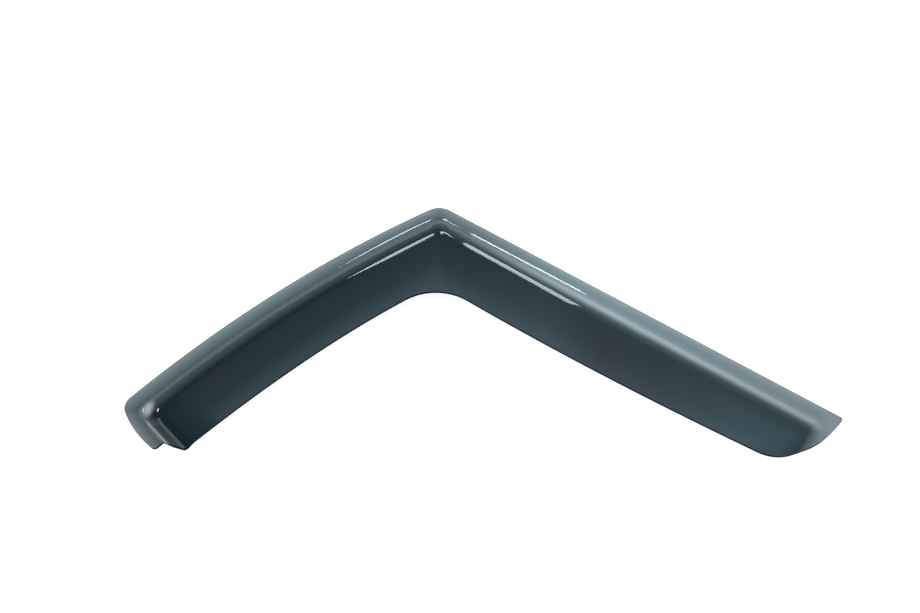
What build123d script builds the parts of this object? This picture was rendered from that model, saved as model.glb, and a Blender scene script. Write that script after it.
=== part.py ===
from build123d import *
import math
import os

# A window rain deflector: one sheet of smoked acrylic, heated and drawn over
# a former. A flat flange runs round the outer side, a sloping wall lifts the
# panel off it, and the inner side is left open. Millimetres, +Z up, the
# flange lies on z = 0 and the corner of the two arms points to +Y.

# the sheet, and how far the panel stands off the flange
sheet = 3.0
standoff = 19.0

# the two arms, measured from the sharp outer corner where they meet
arm_angle = 116.7
long_arm = 513.0
short_arm = 438.5
short_arm_radius = 1433.0

# the flat flange that is stuck to the door frame
flange = 15.0
end_flange = 12.7
toe_flange = 5.5

# level distance each wall takes to climb to the panel
arm_wall_run = 27.0
end_wall_run = 10.0
toe_wall_run = 17.0
end_wall_lean = 2.5

# bends, on the upper side of the sheet
rim_bend = 20.0
foot_bend = 8.0

# rounding where two walls meet, on the upper side of the sheet
apex_ridge = 30.0
end_ridge = 24.0
toe_ridge = 24.0

# width of the arms over flange and panel, near the corner and at the ends
long_width = 103.7
toe_width = 93.0
short_width = 105.9
end_width = 98.7

# the trimmed outline
toe_back = 41.0
toe_bow = 5.9
free_edge_bow = 4.5
short_edge_swell = 1.2
end_flange_depth = 67.0
end_lean = 10.3
end_bow = 3.8
foot_back = 12.5
panel_back = 21.9
apex_corner = 24.0
inner_corner = 62.0
end_corner = 15.0
toe_corner = 42.0
tip_corner = 3.0
notch_corner = 2.0
foot_corner = 5.0
panel_corner = 7.0

# the blocks that the sheet is cut from, far larger than it is
deep = 20.0
far = 1000.0
sweep = 80.0
near = 0.01

half_angle = arm_angle / 2
corner_angle = 180 - half_angle


def ray(length, angle):
    """A level step of the given length."""
    turn = math.radians(angle)
    return Vector(length * math.cos(turn), length * math.sin(turn), 0)


short_centre = ray(short_arm_radius, -half_angle)


def on_long(along, inward):
    """A point of the plan by its place on the straight long arm."""
    return ray(along, half_angle - 90) + ray(inward, half_angle - 180)


def short_angle(along):
    """Where a point of the short arm stands, seen from the centre of its bow."""
    return corner_angle + math.degrees(along / short_arm_radius)


def on_short(along, inward):
    """A point of the plan by its place on the bowed short arm."""
    return short_centre + ray(short_arm_radius - inward, short_angle(along))


def wall_section(plane, foot, run, base, inner_end):
    """The space under a wall and the panel behind it, cut across the wall."""
    lead = run * deep / standoff
    corners = [
        (foot - lead, base - deep),
        (foot + run, base + standoff),
        (inner_end, base + standoff),
        (inner_end, base - deep),
    ]
    return make_face(plane * Polyline(*corners, close=True))


def across_plane(at, inward_angle):
    """An upright plane whose x runs inwards from the point and y runs up."""
    inwards = ray(1, inward_angle)
    return Plane(origin=at, x_dir=inwards, z_dir=inwards.cross(Vector(0, 0, 1)))


def straight_wall(at, inward_angle, foot, run, base):
    """The space behind a straight wall that stands foot inwards of the point."""
    section = wall_section(across_plane(at, inward_angle), foot, run, base, far)
    return extrude(section, amount=far, both=True)


def bowed_wall(foot, run, base):
    """The space behind the short arm's wall, turned about the centre of its bow."""
    first = corner_angle - sweep / 2
    at = short_centre + ray(short_arm_radius, first)
    plane = across_plane(at, first + 180)
    section = wall_section(plane, foot, run, base, short_arm_radius)
    return revolve(section, axis=Axis(short_centre, (0, 0, 1)), revolution_arc=sweep)


def sunk(run, depth):
    """How far a bend moves inwards on a face that lies deeper in the sheet."""
    return depth * math.tan(math.atan2(standoff, run) / 2)


def nearest(shapes, point):
    return min(shapes, key=lambda shape: (shape.center() - point).length)


def level_edge(block, height, along, inward):
    """The edge of a block at a height, nearest to a place on the long arm."""
    edges = [e for e in block.edges() if abs(e.center().Z - height) < near]
    return nearest(edges, on_long(along, inward) + Vector(0, 0, height))


def space_under(depth):
    """All the space under the sheet's upper side, or under a face deeper in the sheet."""
    base = sheet - depth
    top = base + standoff
    long_foot = flange + sunk(arm_wall_run, depth)
    end_foot = end_flange + sunk(end_wall_run, depth)
    toe_foot = toe_flange + sunk(toe_wall_run, depth)
    end_at = on_short(short_arm, end_flange_depth)
    end_inwards = short_angle(short_arm) - 90 - end_wall_lean
    toe_inwards = half_angle + 90

    block = straight_wall(Vector(0, 0, 0), half_angle - 180, long_foot, arm_wall_run, base)
    block &= bowed_wall(long_foot, arm_wall_run, base)
    block &= straight_wall(end_at, end_inwards, end_foot, end_wall_run, base)
    block &= straight_wall(on_long(long_arm, 0), toe_inwards, toe_foot, toe_wall_run, base)

    corners = [
        (on_long(0, 0), apex_ridge),
        (on_short(short_arm, 0), end_ridge),
        (on_long(long_arm, 0), toe_ridge),
    ]
    for corner, radius in corners:
        ridges = [e for e in block.edges() if e.bounding_box().size.Z > standoff]
        block = fillet(nearest(ridges, corner), radius - depth)

    rim = level_edge(block, top, long_arm / 2, long_foot + arm_wall_run)
    block = fillet(rim, rim_bend - depth)
    block += Pos(0, 0, base - deep / 2) * Box(2 * far, 2 * far, deep)
    foot = level_edge(block, base, long_arm / 2, long_foot)
    return fillet(foot, foot_bend + depth)


def bowed(start, end, bow):
    """An arc between two plan points that swells to the left of the way by bow."""
    way = end - start
    left = Vector(-way.Y, way.X, 0).normalized()
    return ThreePointArc(start, (start + end) / 2 + left * bow, end)


def trimmed_outline():
    """The sheet's outline in plan, with its corners rounded."""
    turn = math.radians(arm_angle)
    inner_along = (short_width + long_width * math.cos(turn)) / math.sin(turn)
    apex = Vector(0, 0, 0)
    tip = on_long(long_arm, 0)
    toe = on_long(long_arm - toe_back, toe_width)
    inner = on_long(inner_along, long_width)
    panel_end = on_short(short_arm - panel_back, end_width)
    notch = on_short(short_arm - foot_back, end_flange_depth)
    foot = on_short(short_arm, end_flange_depth)
    end = on_short(short_arm - end_lean, 0)
    half_way = (short_arm - panel_back + inner_along) / 2
    mid_width = (short_width + end_width) / 2 + short_edge_swell
    edges = [
        Line(apex, tip),
        bowed(tip, toe, toe_bow),
        bowed(toe, inner, free_edge_bow),
        ThreePointArc(inner, on_short(half_way, mid_width), panel_end),
        Line(panel_end, notch),
        Line(notch, foot),
        bowed(foot, end, end_bow),
        ThreePointArc(end, on_short((short_arm - end_lean) / 2, 0), apex),
    ]
    outline = make_face(edges)
    corners = [
        (apex, apex_corner),
        (tip, tip_corner),
        (toe, toe_corner),
        (inner, inner_corner),
        (panel_end, panel_corner),
        (notch, notch_corner),
        (foot, foot_corner),
        (end, end_corner),
    ]
    for corner, radius in corners:
        outline = fillet(nearest(outline.vertices(), corner), radius)
    return outline


os.makedirs("parts", exist_ok=True)
shell = space_under(0) - space_under(sheet)
shell &= extrude(trimmed_outline(), amount=deep + standoff)
box = shell.bounding_box()
shell = Pos(-box.center().X, -box.center().Y, 0) * shell
export_step(shell, "parts/deflector_shell.step")
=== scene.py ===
import bpy
import math
from mathutils import Matrix, Quaternion, Vector


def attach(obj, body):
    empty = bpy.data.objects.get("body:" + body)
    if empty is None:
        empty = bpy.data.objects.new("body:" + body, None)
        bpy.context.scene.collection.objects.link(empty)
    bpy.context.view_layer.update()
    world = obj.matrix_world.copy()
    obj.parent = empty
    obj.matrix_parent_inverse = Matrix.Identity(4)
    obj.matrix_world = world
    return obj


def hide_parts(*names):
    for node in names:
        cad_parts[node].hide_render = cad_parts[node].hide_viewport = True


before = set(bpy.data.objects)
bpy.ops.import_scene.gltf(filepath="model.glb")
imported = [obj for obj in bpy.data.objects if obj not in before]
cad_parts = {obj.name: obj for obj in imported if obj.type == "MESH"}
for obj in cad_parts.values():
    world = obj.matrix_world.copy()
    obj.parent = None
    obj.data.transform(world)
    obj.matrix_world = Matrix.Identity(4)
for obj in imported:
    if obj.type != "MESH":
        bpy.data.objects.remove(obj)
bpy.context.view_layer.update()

# all lengths are in metres and are written in millimetres
mm = 0.001

# the sheet, and how far the panel stands off the flange
sheet = 3.0 * mm
standoff = 19.0 * mm

# the two arms, measured from the sharp outer corner where they meet
arm_angle = 116.7
long_arm = 513.0 * mm
short_arm = 438.5 * mm
short_arm_radius = 1433.0 * mm

# the flat flange, and the level distance each wall takes to climb
flange = 15.0 * mm
end_flange = 12.7 * mm
toe_flange = 5.5 * mm
arm_wall_run = 27.0 * mm
end_wall_run = 10.0 * mm
toe_wall_run = 17.0 * mm
end_wall_lean = 2.5

# bends and rounded ridges, on the upper side of the sheet
rim_bend = 20.0 * mm
foot_bend = 8.0 * mm
apex_ridge = 30.0 * mm
end_ridge = 24.0 * mm
toe_ridge = 24.0 * mm

# the trimmed outline
long_width = 103.7 * mm
toe_width = 93.0 * mm
short_width = 105.9 * mm
end_width = 98.7 * mm
toe_back = 41.0 * mm
toe_bow = 5.9 * mm
free_edge_bow = 4.5 * mm
short_edge_swell = 1.2 * mm
end_flange_depth = 67.0 * mm
end_lean = 10.3 * mm
end_bow = 3.8 * mm
foot_back = 12.5 * mm
panel_back = 21.9 * mm
apex_corner = 24.0 * mm
inner_corner = 62.0 * mm
end_corner = 15.0 * mm
toe_corner = 42.0 * mm
tip_corner = 3.0 * mm
notch_corner = 2.0 * mm
foot_corner = 5.0 * mm
panel_corner = 7.0 * mm

# how finely the bowed wall, the bends, the outline and the broken edge are drawn
bow_steps = 720
ridge_steps = 18
rim_steps = 16
foot_steps = 8
outline_steps = 24
edge_steps = 2

# how often folded faces are pulled together, and how much a large face counts in the
# shading of its corners
fold_rounds = 3
normal_weight = 60

# where on the short arm the bowed wall's strips begin, and where they are joined
# into one so that a ridge has flat sides
first_strip = -8.0 * mm
apex_strips = (-5.0 * mm, 40.0 * mm)
end_strips = (short_arm - 41.0 * mm, short_arm)

# the slab that the flange lies on, far larger than the sheet, and where its border
# begins as a share of its size
slab_depth = 12.0 * mm
slab_long = 1400.0 * mm
slab_wide = 900.0 * mm
slab_border = 0.499

# the broken edge, and what counts as one point, level, straight, an edge and steep
edge_break = 0.25 * mm
bend_weld = 0.03 * mm
trim_weld = 0.02 * mm
curve_weld = 0.001 * mm
level = 0.001 * mm
straight = 0.001
least_turn = math.radians(10)
broken_turn = math.radians(40)
smooth_turn = math.radians(50)
steep = 0.3
ridge_spread = 1.4

half_angle = arm_angle / 2
corner_angle = 180 - half_angle
up = Vector((0, 0, 1))


def ray(length, angle):
    """A level step of the given length."""
    turn = math.radians(angle)
    return Vector((length * math.cos(turn), length * math.sin(turn), 0))


short_centre = ray(short_arm_radius, -half_angle)


def on_long(along, inward):
    """A point of the plan by its place on the straight long arm."""
    return ray(along, half_angle - 90) + ray(inward, half_angle - 180)


def short_angle(along):
    """Where a point of the short arm stands, seen from the centre of its bow."""
    return corner_angle + math.degrees(along / short_arm_radius)


def on_short(along, inward):
    """A point of the plan by its place on the bowed short arm."""
    return short_centre + ray(short_arm_radius - inward, short_angle(along))


def use(piece):
    """Makes the piece the only one that the operators act on."""
    bpy.ops.object.select_all(action="DESELECT")
    piece.select_set(True)
    bpy.context.view_layer.objects.active = piece


def finish_modifier(piece, kind, **settings):
    """Adds a modifier with its settings and applies it."""
    use(piece)
    modifier = piece.modifiers.new(kind.title(), kind)
    for name, value in settings.items():
        setattr(modifier, name, value)
    bpy.ops.object.modifier_apply(modifier=modifier.name)


def merge_near(piece, distance):
    """Merges points that lie closer together than the distance."""
    use(piece)
    bpy.ops.object.mode_set(mode="EDIT")
    bpy.ops.mesh.select_all(action="SELECT")
    bpy.ops.mesh.remove_doubles(threshold=distance)
    bpy.ops.mesh.dissolve_degenerate(threshold=distance)
    bpy.ops.object.mode_set(mode="OBJECT")


def edge_turns(mesh):
    """Each edge between two faces, with its ends and the angle it turns by."""
    sides = {}
    for face in mesh.polygons:
        for key in face.edge_keys:
            sides.setdefault(key, []).append(face.normal)
    for edge in mesh.edges:
        faces = sides.get(edge.key, [])
        if len(faces) == 2:
            a, b = [mesh.vertices[i].co for i in edge.vertices]
            yield edge, a, b, faces[0].angle(faces[1])


def round_edges(piece, wanted, radius, steps):
    """Rounds the edges that pass the test to one radius, whatever angle they turn."""
    weights = piece.data.attributes.new("bevel_weight_edge", "FLOAT", "EDGE")
    for edge, a, b, turn in list(edge_turns(piece.data)):
        if turn > least_turn and wanted(a, b):
            weights.data[edge.index].value = math.tan(turn / 2)
    finish_modifier(piece, "BEVEL", width=radius, segments=steps, limit_method="WEIGHT",
                    use_clamp_overlap=False)
    weights = piece.data.attributes.get("bevel_weight_edge")
    if weights:
        piece.data.attributes.remove(weights)
    merge_near(piece, bend_weld)


def slice_off(piece, at, outwards):
    """Cuts away what lies beyond a plane and closes the cut."""
    use(piece)
    bpy.ops.object.mode_set(mode="EDIT")
    bpy.ops.mesh.select_all(action="SELECT")
    bpy.ops.mesh.bisect(plane_co=at, plane_no=outwards, use_fill=True, clear_outer=True)
    bpy.ops.object.mode_set(mode="OBJECT")


def slice_wall(piece, at, inward_angle, foot, run):
    """Cuts the piece along a wall that climbs inwards from the foot line."""
    inwards = ray(1, inward_angle)
    slice_off(piece, at + inwards * foot + up * sheet, up * run - inwards * standoff)


def ridge_test(corner):
    """Picks the one climbing edge that stands at a corner of the block."""
    def is_ridge(a, b):
        climbs = abs(a.z - b.z) > standoff
        from_corner = ((a + b) / 2 - corner).xy.length
        return climbs and from_corner < ridge_spread * (flange + arm_wall_run)
    return is_ridge


def clear_for_ridge(block, first, last):
    """Joins the bowed wall's strips between two places of the short arm into one."""
    use(block)
    bpy.ops.object.mode_set(mode="EDIT")
    bpy.ops.mesh.select_mode(type="EDGE")
    bpy.ops.mesh.select_all(action="DESELECT")
    bpy.ops.object.mode_set(mode="OBJECT")
    for edge in block.data.edges:
        a, b = [block.data.vertices[i].co for i in edge.vertices]
        if abs(a.z - b.z) > standoff:
            from_centre = a - short_centre
            turned = math.atan2(from_centre.y, from_centre.x) - math.radians(corner_angle)
            edge.select = first < turned * short_arm_radius < last
    bpy.ops.object.mode_set(mode="EDIT")
    bpy.ops.mesh.dissolve_edges(use_verts=True)
    bpy.ops.object.mode_set(mode="OBJECT")


def walls_and_panel():
    """The sharp block that the sheet is drawn over, with its ridges rounded."""
    lead = slab_depth / 2
    spread = arm_wall_run / standoff
    bpy.ops.mesh.primitive_cone_add(
        vertices=bow_steps,
        radius1=short_arm_radius - flange + lead * spread,
        radius2=short_arm_radius - flange - arm_wall_run,
        depth=standoff + lead,
        location=short_centre + up * (sheet + (standoff - lead) / 2),
        rotation=(0, 0, math.radians(short_angle(first_strip) - 90)))
    block = bpy.context.object
    use(block)
    bpy.ops.object.transform_apply(location=True, rotation=True, scale=True)
    clear_for_ridge(block, *apex_strips)
    clear_for_ridge(block, *end_strips)
    slice_wall(block, Vector((0, 0, 0)), half_angle - 180, flange, arm_wall_run)
    slice_wall(block, on_short(short_arm, end_flange_depth),
               short_angle(short_arm) - 90 - end_wall_lean, end_flange, end_wall_run)
    slice_wall(block, on_long(long_arm, 0), half_angle + 90, toe_flange, toe_wall_run)
    slice_off(block, Vector((0, -slab_wide / 2 - slab_depth, 0)), Vector((0, -1, 0)))

    ridges = (
        (on_long(0, 0), apex_ridge),
        (on_short(short_arm, 0), end_ridge),
        (on_long(long_arm, 0), toe_ridge),
    )
    for corner, radius in ridges:
        round_edges(block, ridge_test(corner), radius, ridge_steps)
    return block


def rim_and_foot(block):
    """Rounds the panel's rim, adds the slab under it, and rounds the wall's foot."""
    top = sheet + standoff

    def is_rim(a, b):
        return min(a.z, b.z) > top - level and (a + b).y > -slab_wide

    round_edges(block, is_rim, rim_bend, rim_steps)
    bpy.ops.mesh.primitive_cube_add(size=1, location=(0, 0, sheet - slab_depth / 2),
                                    scale=(slab_long, slab_wide, slab_depth))
    slab = bpy.context.object
    use(slab)
    bpy.ops.object.transform_apply(location=True, rotation=True, scale=True)
    finish_modifier(slab, "BOOLEAN", object=block, operation="UNION", solver="EXACT")
    bpy.data.objects.remove(block)

    def is_foot(a, b):
        on_flange = max(abs(a.z - sheet), abs(b.z - sheet)) < level
        within = max(abs(a.x), abs(b.x)) < slab_long / 2 - mm
        return on_flange and within and min(a.y, b.y) > -slab_wide / 2 + mm

    round_edges(slab, is_foot, foot_bend, foot_steps)
    return slab


def headings(start, end, bow):
    """How an arc that swells to the left by bow leaves the start and reaches the end."""
    way = end - start
    half_turn = 2 * math.atan2(2 * bow, way.length)
    leaving = Matrix.Rotation(half_turn, 3, "Z") @ way.normalized()
    reaching = Matrix.Rotation(-half_turn, 3, "Z") @ way.normalized()
    return leaving, reaching


def handle(chord, turn):
    """How long the curve handles are that draw an arc of that chord and turn."""
    if turn < straight:
        return chord / 3
    return 4 / 3 * math.tan(turn / 4) * chord / 2 / math.sin(turn / 2)


def left_swell(start, middle, end):
    """How far an arc's middle lies to the left of the straight way."""
    across = up.cross(end - start).normalized()
    return (middle - (start + end) / 2).dot(across)


def outline_corners():
    """The outline's sharp corners, each with its radius and the next side's bow."""
    turn = math.radians(arm_angle)
    inner_along = (short_width + long_width * math.cos(turn)) / math.sin(turn)
    apex = Vector((0, 0, 0))
    inner = on_long(inner_along, long_width)
    panel_end = on_short(short_arm - panel_back, end_width)
    half_way = (short_arm - panel_back + inner_along) / 2
    free_middle = on_short(half_way, (short_width + end_width) / 2 + short_edge_swell)
    end = on_short(short_arm - end_lean, 0)
    outer_middle = on_short((short_arm - end_lean) / 2, 0)
    return (
        (apex, apex_corner, 0),
        (on_long(long_arm, 0), tip_corner, toe_bow),
        (on_long(long_arm - toe_back, toe_width), toe_corner, free_edge_bow),
        (inner, inner_corner, left_swell(inner, free_middle, panel_end)),
        (panel_end, panel_corner, 0),
        (on_short(short_arm - foot_back, end_flange_depth), notch_corner, 0),
        (on_short(short_arm, end_flange_depth), foot_corner, end_bow),
        (end, end_corner, left_swell(end, outer_middle, apex)),
    )


def trimming_block():
    """An upright block with the sheet's outline, drawn as one closed curve."""
    corners = outline_corners()
    sides = []
    for i, (start, radius, bow) in enumerate(corners):
        end = corners[(i + 1) % len(corners)][0]
        sides.append(headings(start, end, bow))
    knots = []
    for i, (corner, radius, bow) in enumerate(corners):
        reaching = sides[i - 1][1]
        leaving = sides[i][0]
        turn = reaching.angle(leaving)
        back = radius * math.tan(turn / 2)
        reach = 4 / 3 * math.tan(turn / 4) * radius
        knots.append((corner - reaching * back, reaching, reach))
        knots.append((corner + leaving * back, leaving, reach))

    curve = bpy.data.curves.new("trimming block", "CURVE")
    curve.dimensions = "2D"
    curve.fill_mode = "BOTH"
    curve.extrude = 2 * standoff
    curve.resolution_u = outline_steps
    spline = curve.splines.new("BEZIER")
    spline.bezier_points.add(len(knots) - 1)
    spline.use_cyclic_u = True
    for i, (place, heading, reach) in enumerate(knots):
        rounding_next = i % 2 == 0
        other = knots[i - 1] if rounding_next else knots[(i + 1) % len(knots)]
        long_reach = handle((other[0] - place).length, heading.angle(other[1]))
        point = spline.bezier_points[i]
        point.handle_left_type = "FREE"
        point.handle_right_type = "FREE"
        point.co = place
        point.handle_left = place - heading * (long_reach if rounding_next else reach)
        point.handle_right = place + heading * (reach if rounding_next else long_reach)
    block = bpy.data.objects.new("trimming block", curve)
    bpy.context.scene.collection.objects.link(block)
    use(block)
    bpy.ops.object.convert(target="MESH")
    bpy.ops.object.mode_set(mode="EDIT")
    bpy.ops.mesh.select_all(action="SELECT")
    bpy.ops.mesh.remove_doubles(threshold=curve_weld)
    bpy.ops.mesh.normals_make_consistent(inside=False)
    bpy.ops.object.mode_set(mode="OBJECT")
    return bpy.context.object


def pinch_folds(piece):
    """Pulls together the tiny faces that a bend folds over where it turns a corner."""
    for i in range(fold_rounds):
        use(piece)
        bpy.ops.object.mode_set(mode="EDIT")
        bpy.ops.mesh.select_mode(type="FACE")
        bpy.ops.mesh.select_all(action="DESELECT")
        bpy.ops.object.mode_set(mode="OBJECT")
        for face in piece.data.polygons:
            face.select = face.normal.z < steep
        bpy.ops.object.mode_set(mode="EDIT")
        bpy.ops.mesh.merge(type="COLLAPSE")
        bpy.ops.object.mode_set(mode="OBJECT")


def drawn_sheet():
    """The sheet's upper side without the block's other sides, thickened downwards."""
    piece = rim_and_foot(walls_and_panel())
    use(piece)
    bpy.ops.object.mode_set(mode="EDIT")
    bpy.ops.mesh.select_mode(type="FACE")
    bpy.ops.mesh.select_all(action="DESELECT")
    bpy.ops.object.mode_set(mode="OBJECT")
    for face in piece.data.polygons:
        middle = face.center
        outside = max(abs(middle.x) / slab_long, -middle.y / slab_wide) > slab_border
        face.select = face.normal.z < steep and (outside or middle.y > slab_wide / 2 - mm
                                                 or middle.z < sheet - mm)
    bpy.ops.object.mode_set(mode="EDIT")
    bpy.ops.mesh.delete(type="FACE")
    bpy.ops.object.mode_set(mode="OBJECT")
    pinch_folds(piece)
    finish_modifier(piece, "SOLIDIFY", thickness=sheet, offset=-1, use_even_offset=True,
                    use_quality_normals=True)
    return piece


def deflector():
    """The drawn sheet, trimmed, and its sharp outer corner's place once it is centred."""
    piece = drawn_sheet()
    block = trimming_block()
    finish_modifier(piece, "BOOLEAN", object=block, operation="INTERSECT", solver="EXACT")
    bpy.data.objects.remove(block)
    merge_near(piece, trim_weld)
    places = [vertex.co for vertex in piece.data.vertices]
    middle_x = (min(place.x for place in places) + max(place.x for place in places)) / 2
    middle_y = (min(place.y for place in places) + max(place.y for place in places)) / 2
    for place in places:
        place -= Vector((middle_x, middle_y, 0))
    finish_modifier(piece, "BEVEL", width=edge_break, segments=edge_steps,
                    limit_method="ANGLE", angle_limit=broken_turn, use_clamp_overlap=True)
    use(piece)
    bpy.ops.object.shade_smooth_by_angle(angle=smooth_turn)
    finish_modifier(piece, "WEIGHTED_NORMAL", weight=normal_weight, keep_sharp=True)
    piece.name = "smoked_sheet"
    piece.data.name = "smoked_sheet"
    return piece, Vector((-middle_x, -middle_y, 0))


def linear(hex_colour):
    """A written sRGB colour as the linear values that Blender takes."""
    channels = [int(hex_colour[i:i + 2], 16) / 255 for i in (1, 3, 5)]
    levels = [c / 12.92 if c <= 0.04045 else ((c + 0.055) / 1.055) ** 2.4 for c in channels]
    return levels + [1]


def node(material, kind, inputs=(), stops=(), **settings):
    """Adds a node with its settings, its values or links, and a ramp's stops."""
    made = material.node_tree.nodes.new(kind)
    for name, value in settings.items():
        setattr(made, name, value)
    for name, value in dict(inputs).items():
        found = [s for i, s in enumerate(made.inputs) if s.enabled and name in (i, s.name)]
        if isinstance(value, bpy.types.NodeSocket):
            material.node_tree.links.new(value, found[0])
        else:
            found[0].default_value = value
    for i, (position, colour) in enumerate(stops):
        elements = made.color_ramp.elements
        stop = elements[i] if i < 2 else elements.new(position)
        stop.position = position
        stop.color = linear(colour) if isinstance(colour, str) else [colour] * 3 + [1]
    return made


def result(made):
    """The output that a node with several kinds of output has in use."""
    return [s for s in made.outputs if s.enabled][0]


def new_material(name):
    """An empty material with its output node."""
    material = bpy.data.materials.new(name)
    material.use_nodes = True
    material.node_tree.nodes.clear()
    return material


end_heading = short_angle(short_arm) - 90 - end_wall_lean
toe_heading = half_angle + 90

# the sheet's tones by the millimetres in from the outer line, with light and shade
# painted in: on the short arm the edge, the flange, the wall's foot and then the wall,
# the rim and the panel; the flange is painted pale with painted shade growing toward the
# wall's foot, the rim is painted shade, and the panel is painted lighter toward its free
# edge
tone_reach = 110.0
short_arm_painted_shading = (
    (0, "#98abb3"), (6, "#74898f"), (12, "#5c7179"),
    (17, "#43575d"), (20, "#52656b"), (25, "#445a61"), (32, "#3c4b51"), (36, "#2f4147"),
    (41, "#122830"), (50, "#162c34"), (80, "#19343d"), (106, "#304a54"))

# the same on the long arm, whose wall is its palest part: a painted reflection of the table
long_arm_painted_shading = (
    (0, "#bccdd5"), (5, "#9fb6bf"), (10, "#8faab3"),
    (17, "#98abb4"), (24, "#bbccd4"), (28, "#b3c4cb"), (33, "#87989f"), (36, "#5f7279"),
    (41, "#41535b"), (47, "#31464e"), (50, "#30464f"), (80, "#38505a"), (106, "#455f69"))

# where the short arm's tones pass into the long arm's, along X
arms_blend = (-60.0 * mm, 160.0 * mm)

# half of what the long arm's panel tones are multiplied by, by the millimetres along
# X, and where the panel takes that up behind the rim
long_arm_reach = 360.0
half_gains = ((70, 0.5), (125, 0.3), (185, 0.37), (265, 0.62), (330, 0.76))
gain_start = 42.0
gain_full = 60.0

# how far in on an arm the tone lies that the toe begins with, how far the tones of
# two walls flow together, and how far behind the toe's line its own paler tone, painted
# light, fades
toe_first_tone = 33.0 * mm
tone_blend = 6.0 * mm
toe_painted_light = "#a6b9c0"
toe_share = 0.95
toe_fade = (11.0 * mm, 26.0 * mm)

# the painted glint on the ridge of the left end, a pale spot that stands in for a
# reflection, and where the wall below it begins
painted_glint_spot = Vector((-353 * mm, -116 * mm, 10 * mm))
painted_glint_tone = "#e4eff5"
painted_glint_share = 0.95
painted_glint_reach = 14.0 * mm
painted_glint_below = (16.0 * mm, 8.0 * mm)

# the left end's wall, painted in shade, and the pale line in the bend at its foot, a
# painted highlight: how far each holds and fades from its middle
end_wall_painted_shade = "#455258"
wall_half = 2.5 * mm
wall_fade = 5.0 * mm
crease_painted_highlight = "#b4c1c7"
crease_in = 0.5 * mm
crease_half = 0.4 * mm
crease_fade = 1.8 * mm

# how much of the table the sheet hides, by the millimetres in from the outer line,
# and where, beside the left end's wall, it hides all of it; hiding more at the rim and
# beside that wall darkens them as painted shade
covers = ((14, 0.8), (42, 0.9), (106, 0.84))
end_cover_start = (40.0, 43.0)
end_cover_fade = (22.0 * mm, 75.0 * mm)

# how strongly the flange and the rest of the sheet mirror, and where that changes
flange_mirror = 1.0
panel_mirror = 0.5
mirror_fade = (16.0, 24.0)
acrylic_ior = 1.49


def by_depth(stops):
    """A ramp's stops, from stops written in millimetres in from the outer line."""
    return [(depth / tone_reach, value) for depth, value in stops]


def behind_line(material, place, at, heading):
    """How far a point lies behind a straight level line, in the heading's direction."""
    inwards = ray(1, heading)
    depth = node(material, "ShaderNodeVectorMath", {0: place, 1: inwards},
                 operation="DOT_PRODUCT")
    return result(node(material, "ShaderNodeMath", {0: result(depth), 1: at.dot(inwards)},
                       operation="SUBTRACT"))


def beside_line(material, depth, middle, full, end, share):
    """A share that holds up to one distance from a line and has gone at another."""
    off = node(material, "ShaderNodeMath", {0: depth, 1: middle}, operation="SUBTRACT")
    off = node(material, "ShaderNodeMath", {0: result(off)}, operation="ABSOLUTE")
    return result(node(material, "ShaderNodeMapRange", {
        "Value": result(off), "From Min": full, "From Max": end,
        "To Min": share, "To Max": 0}))


def distance_inwards(material, place, apex):
    """How far in from the outer lines a point's tone lies, by the arms' walls.

    The left end's wall has its tones in half its run; the toe's begin near the rim's.
    """
    def from_line(at, heading, foot, run, first):
        depth = behind_line(material, place, apex + at, heading)
        wider = node(material, "ShaderNodeMapRange", {
            "Value": depth, "From Min": foot, "From Max": foot + run,
            "To Min": first - foot, "To Max": flange + arm_wall_run - foot - run})
        return result(node(material, "ShaderNodeMath", {0: depth, 1: result(wider)}))

    radius = node(material, "ShaderNodeVectorMath", {0: place, 1: apex + short_centre},
                  operation="DISTANCE")
    nearest = result(node(material, "ShaderNodeMath", {
        0: short_arm_radius, 1: result(radius)}, operation="SUBTRACT"))
    lines = (
        (Vector((0, 0, 0)), half_angle - 180, flange, arm_wall_run, flange),
        (on_short(short_arm, end_flange_depth), end_heading, end_flange, end_wall_run / 2,
         flange),
        (on_long(long_arm, 0), toe_heading, toe_flange, toe_wall_run, toe_first_tone),
    )
    for line in lines:
        nearest = result(node(material, "ShaderNodeMath", {
            0: nearest, 1: from_line(*line), 2: tone_blend}, operation="SMOOTH_MIN"))
    return nearest


def arm_painted_shading(material, inward, x):
    """The painted light and shade across the two arms, and the long arm's uneven panel."""
    along = node(material, "ShaderNodeMapRange", {
        "Value": x, "From Min": arms_blend[0], "From Max": arms_blend[1]},
        interpolation_type="SMOOTHSTEP")
    on_short_arm = node(material, "ShaderNodeValToRGB", {"Fac": inward},
                        by_depth(short_arm_painted_shading))
    on_long_arm = node(material, "ShaderNodeValToRGB", {"Fac": inward},
                       by_depth(long_arm_painted_shading))
    painted_tone = node(material, "ShaderNodeMix", {
        "Factor": result(along), "A": on_short_arm.outputs["Color"],
        "B": on_long_arm.outputs["Color"]}, data_type="RGBA")
    down_long_arm = node(material, "ShaderNodeMapRange", {
        "Value": x, "From Min": 0, "From Max": long_arm_reach * mm})
    half_gain = node(material, "ShaderNodeValToRGB", {"Fac": result(down_long_arm)},
                     [(place / long_arm_reach, gain) for place, gain in half_gains])
    panel_gain = node(material, "ShaderNodeMath", {
        0: half_gain.outputs["Color"], 1: 2.0}, operation="MULTIPLY")
    gain = node(material, "ShaderNodeMapRange", {
        "Value": inward, "From Min": gain_start / tone_reach,
        "From Max": gain_full / tone_reach, "To Min": 1.0, "To Max": result(panel_gain)})
    return result(node(material, "ShaderNodeVectorMath", {
        0: result(painted_tone), "Scale": result(gain)}, operation="SCALE"))


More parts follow.
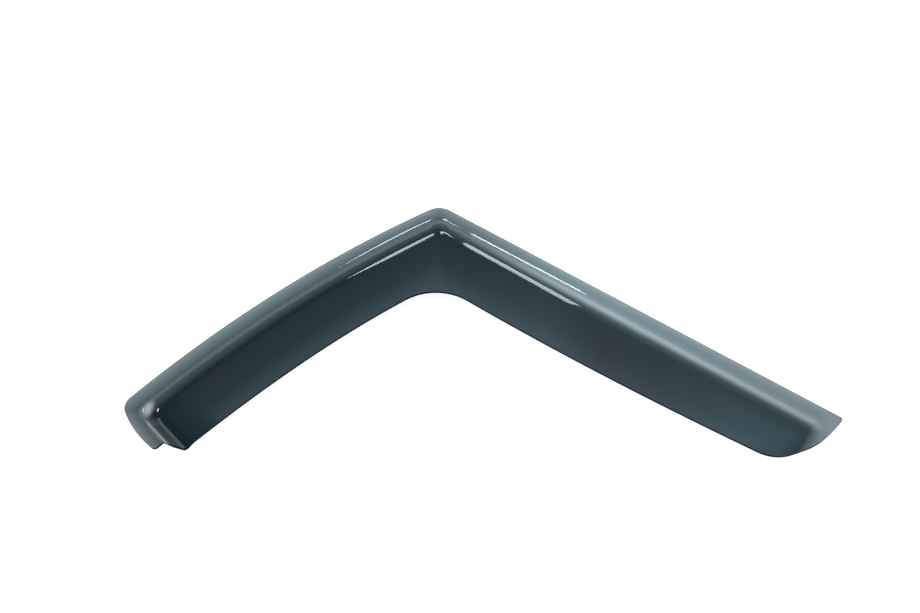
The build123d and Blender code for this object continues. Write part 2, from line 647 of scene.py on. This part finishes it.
def local_painted_light(material, place, y, toe_depth, end_depth):
    """The share and tone of the toe's painted light, the painted glint, the left end's
    wall in painted shade and the painted highlight in its crease.
    """
    at_toe = node(material, "ShaderNodeMapRange", {
        "Value": toe_depth, "From Min": toe_fade[0], "From Max": toe_fade[1],
        "To Min": toe_share, "To Max": 0})
    from_painted_glint = node(material, "ShaderNodeVectorMath", {0: place, 1: painted_glint_spot},
                     operation="DISTANCE")
    at_painted_glint = node(material, "ShaderNodeMapRange", {
        "Value": result(from_painted_glint), "From Min": 0, "From Max": painted_glint_reach,
        "To Min": painted_glint_share, "To Max": 0}, interpolation_type="SMOOTHSTEP")
    below_painted_glint = result(node(material, "ShaderNodeMapRange", {
        "Value": y, "From Min": painted_glint_spot.y - painted_glint_below[0],
        "From Max": painted_glint_spot.y - painted_glint_below[1], "To Min": 1.0, "To Max": 0}))
    on_shaded_end_wall = beside_line(material, end_depth, end_flange + end_wall_run / 2,
                          wall_half, wall_fade, below_painted_glint)
    at_crease_highlight = beside_line(material, end_depth, end_flange + crease_in,
                            crease_half, crease_fade, below_painted_glint)
    return (
        (result(at_toe), toe_painted_light),
        (result(at_painted_glint), painted_glint_tone),
        (on_shaded_end_wall, end_wall_painted_shade),
        (at_crease_highlight, crease_painted_highlight),
    )


def hidden_share(material, inward, end_depth):
    """How much of the table the sheet hides, which is most beside the left end's wall,
    where that darkens it as painted shade.
    """
    cover = node(material, "ShaderNodeValToRGB", {"Fac": inward}, by_depth(covers))
    behind_end = node(material, "ShaderNodeMapRange", {
        "Value": end_depth, "From Min": end_cover_fade[0], "From Max": end_cover_fade[1],
        "To Min": 1.0, "To Max": covers[-1][1]})
    end_cover = node(material, "ShaderNodeMapRange", {
        "Value": inward, "From Min": end_cover_start[0] / tone_reach,
        "From Max": end_cover_start[1] / tone_reach,
        "To Min": covers[0][1], "To Max": result(behind_end)})
    return result(node(material, "ShaderNodeMath", {
        0: cover.outputs["Color"], 1: result(end_cover)}, operation="MAXIMUM"))


def smoked_acrylic(apex):
    """Smoked cast acrylic, heated and drawn: a blue-grey dye under a polished skin.

    Light that the table sends back shows through the flange, which lies on it, and
    least through the rim, where the sheet stands highest over its own shadow. On top of
    that, light and shade are painted into the tone: the flange painted pale, the long
    arm's wall a painted reflection of the table, the rim painted shade, the panel painted
    lighter toward its free edge, the toe painted pale, the left end's wall painted shade
    with a painted highlight in its crease, and a painted glint on the left end's outer
    corner; the sheet also hides more of the table at the rim and beside the left end's
    wall as painted shade. The long arm's panel is darker in its middle and paler toward
    its toe.
    """
    material = new_material("smoked acrylic")
    place = node(material, "ShaderNodeTexCoord").outputs["Object"]
    axes = node(material, "ShaderNodeSeparateXYZ", {"Vector": place})
    inward = result(node(material, "ShaderNodeMapRange", {
        "Value": distance_inwards(material, place, apex), "From Max": tone_reach * mm}))
    toe_depth = behind_line(material, place, apex + on_long(long_arm, 0), toe_heading)
    end_depth = behind_line(material, place, apex + on_short(short_arm, end_flange_depth),
                            end_heading)
    # the base tone, with light and shade painted in by place
    painted_tone = arm_painted_shading(material, inward, axes.outputs["X"])
    layers = local_painted_light(material, place, axes.outputs["Y"], toe_depth, end_depth)
    for share, tone in layers:
        painted_tone = result(node(material, "ShaderNodeMix", {
            "Factor": share, "A": painted_tone, "B": linear(tone)}, data_type="RGBA"))
    mirror = node(material, "ShaderNodeMapRange", {
        "Value": inward, "From Min": mirror_fade[0] / tone_reach,
        "From Max": mirror_fade[1] / tone_reach,
        "To Min": flange_mirror, "To Max": panel_mirror})
    skin = node(material, "ShaderNodeBsdfPrincipled", {
        "Base Color": painted_tone, "Roughness": 0.04, "IOR": acrylic_ior,
        "Specular IOR Level": result(mirror),
        "Alpha": hidden_share(material, inward, end_depth)})
    node(material, "ShaderNodeOutputMaterial", {"Surface": skin.outputs["BSDF"]})
    return material


def cut_edge():
    """The trimmed edge: smoked acrylic seen along the sheet, which is nearly black."""
    material = new_material("cut edge")
    skin = node(material, "ShaderNodeBsdfPrincipled", {
        "Base Color": linear("#05080a"), "Roughness": 0.5, "IOR": acrylic_ior,
        "Specular IOR Level": 0.05})
    node(material, "ShaderNodeOutputMaterial", {"Surface": skin.outputs["BSDF"]})
    return material


# the studio: the table and how bright it looks by itself, and what the room sends
table_size = 12000 * mm
table_drop = 0.2 * mm
table_tone = "#f2f2f2"
mirrored_table_tone = "#a2a2a2"
table_glow = 0.8
room_light = 0.45
mirrored_room = 0.1
white = (1, 1, 1, 1)
cool_white = (0.86, 0.97, 1.0)

# the cards that only the sheet mirrors: square, just over the table, and as far out
# as leaves a strip of table beside the flange
card_size = 900 * mm
card_gap = 26 * mm
card_height = 1 * mm

# the flag that ends the left soft box in a slant: one end of its edge, in metres, and
# its slope
flag_edge = Vector((-0.395, 0.98, 0.87))
flag_slope = 65.5

# each soft box's name, middle and size in metres, aim, radiance and roll in degrees
bright = 11.5
soft_boxes = (
    ("left soft box", (-0.3825, 1.0, 0.82), (0.335, 0.54), (0, -1, 0), bright, 0),
    ("middle soft box", (0.0, 1.0, 0.5), (0.06, 0.44), (0, -1, 0), bright, 0),
    ("right soft box", (0.241, 0.909, 0.532), (0.43, 0.612), (-0.949, -0.315, 0),
     9.5, -13.6),
    ("low middle box", (0.0825, 1.0, 0.33), (0.105, 0.14), (0, -1, 0), bright, 0),
    ("left front box", (-1.75, -0.55, 0.4), (0.8, 0.6), (1, 0.32, -0.15), 1.2, 0),
    ("small left box", (-1.56, 0.32, 0.3), (0.2, 0.25), (1.2, -0.4, -0.2), 12, 0),
    ("front strip", (0, -1.6, 1.8), (1.6, 0.2), (0, 1.6, -1.8), 4, 0),
)


def lamp(name, centre, size, aim, radiance, roll):
    """A rectangular soft box of cool light that faces along a direction."""
    light = bpy.data.lights.new(name, "AREA")
    light.shape = "RECTANGLE"
    light.size, light.size_y = size
    light.energy = radiance * math.pi * size[0] * size[1]
    light.color = cool_white
    box = bpy.data.objects.new(name, light)
    bpy.context.scene.collection.objects.link(box)
    box.location = centre
    facing = Vector(aim).to_track_quat("-Z", "Y")
    box.rotation_euler = (facing @ Quaternion(up, math.radians(roll))).to_euler()


def studio_table():
    """A white table top that shows its shadows and clips to white around them."""
    bpy.ops.mesh.primitive_plane_add(size=table_size, location=(0, 0, -table_drop))
    table = bpy.context.object
    table.name = "white_table"
    material = new_material("white table")
    path = node(material, "ShaderNodeLightPath")
    matt = node(material, "ShaderNodeBsdfDiffuse", {"Color": linear(table_tone)})
    glow = node(material, "ShaderNodeEmission", {"Color": white, "Strength": table_glow})
    both = node(material, "ShaderNodeAddShader", {0: matt.outputs[0], 1: glow.outputs[0]})
    grey = node(material, "ShaderNodeBsdfDiffuse", {"Color": linear(mirrored_table_tone)})
    mirrored = node(material, "ShaderNodeMixShader", {
        "Fac": path.outputs["Is Glossy Ray"], 1: matt.outputs[0], 2: grey.outputs[0]})
    seen = node(material, "ShaderNodeMixShader", {
        "Fac": path.outputs["Is Camera Ray"], 1: mirrored.outputs[0], 2: both.outputs[0]})
    node(material, "ShaderNodeOutputMaterial", {"Surface": seen.outputs[0]})
    table.data.materials.append(material)


def black_card(name, middle, turn):
    """A square black card that only shows mirrored in the sheet."""
    bpy.ops.mesh.primitive_plane_add(size=card_size, location=middle, rotation=turn)
    card = bpy.context.object
    card.name = name
    material = new_material("black card")
    dark = node(material, "ShaderNodeEmission", {"Color": white, "Strength": 0})
    node(material, "ShaderNodeOutputMaterial", {"Surface": dark.outputs[0]})
    card.data.materials.append(material)
    card.visible_camera = False
    card.visible_diffuse = False
    card.visible_transmission = False
    return card


def low_card(name, at, heading):
    """A card that lies just over the table beyond an outer line, and casts no shadow."""
    middle = at - ray(card_gap + card_size / 2, heading) + up * card_height
    black_card(name, middle, (0, 0, math.radians(heading))).visible_shadow = False


def dim_room():
    """White to the camera, faint in the sheet's mirror, and soft light from all round."""
    world = bpy.data.worlds.new("dim room")
    bpy.context.scene.world = world
    world.use_nodes = True
    world.node_tree.nodes.clear()
    path = node(world, "ShaderNodeLightPath")
    room = node(world, "ShaderNodeBackground", {"Color": white, "Strength": room_light})
    dim = node(world, "ShaderNodeBackground", {"Color": white, "Strength": mirrored_room})
    clear = node(world, "ShaderNodeBackground", {"Color": white, "Strength": 1.0})
    mirrored = node(world, "ShaderNodeMixShader", {
        "Fac": path.outputs["Is Glossy Ray"], 1: room.outputs[0], 2: dim.outputs[0]})
    seen = node(world, "ShaderNodeMixShader", {
        "Fac": path.outputs["Is Camera Ray"], 1: mirrored.outputs[0], 2: clear.outputs[0]})
    node(world, "ShaderNodeOutputWorld", {"Surface": seen.outputs[0]})


def stand_in_studio(apex):
    """A white table, black cards round the sheet, a flag, a dim room and soft boxes."""
    studio_table()
    low_card("long_card", apex + on_long(long_arm / 2, 0), half_angle - 180)
    for i in range(3):
        along = short_arm * (2 * i + 1) / 6
        low_card(f"short_card_{i}", apex + on_short(along, 0), short_angle(along) - 180)
    low_card("end_card", apex + on_short(short_arm, end_flange_depth), end_heading)
    slope = math.radians(flag_slope)
    outwards = Vector((-math.sin(slope), 0, math.cos(slope)))
    black_card("left_flag", flag_edge + outwards * card_size / 2,
               (math.radians(90), -slope, 0))
    dim_room()
    for box in soft_boxes:
        lamp(*box)
    bpy.context.scene.view_settings.view_transform = "Standard"


# the photograph's view: how steeply it looks down, how far it is turned, its lens in
# millimetres, and its place
looks_down = 58
turned_left = 1.777
lens_length = 40
frame_width = 36
picture_width = 920
eye_place = (-8.1 * mm, -584.03 * mm, 977.05 * mm)


def camera():
    """The camera where the photograph was taken, its middle between two pixels."""
    lens = bpy.data.cameras.new("camera")
    lens.lens = lens_length
    lens.sensor_width = frame_width
    half_pixel = 0.5 / picture_width
    lens.shift_x = -half_pixel
    lens.shift_y = half_pixel
    eye = bpy.data.objects.new("camera", lens)
    bpy.context.scene.collection.objects.link(eye)
    eye.location = eye_place
    eye.rotation_euler = (math.radians(90 - looks_down), 0, math.radians(turned_left))
    bpy.context.scene.camera = eye


shell, apex_place = deflector()
shell.data.materials.clear()
shell.data.materials.append(smoked_acrylic(apex_place))
shell.data.materials.append(cut_edge())
for face in shell.data.polygons:
    face.material_index = int(abs(face.normal.z) < steep)
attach(shell, "root")
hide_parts("deflector_shell")
stand_in_studio(apex_place)
camera()
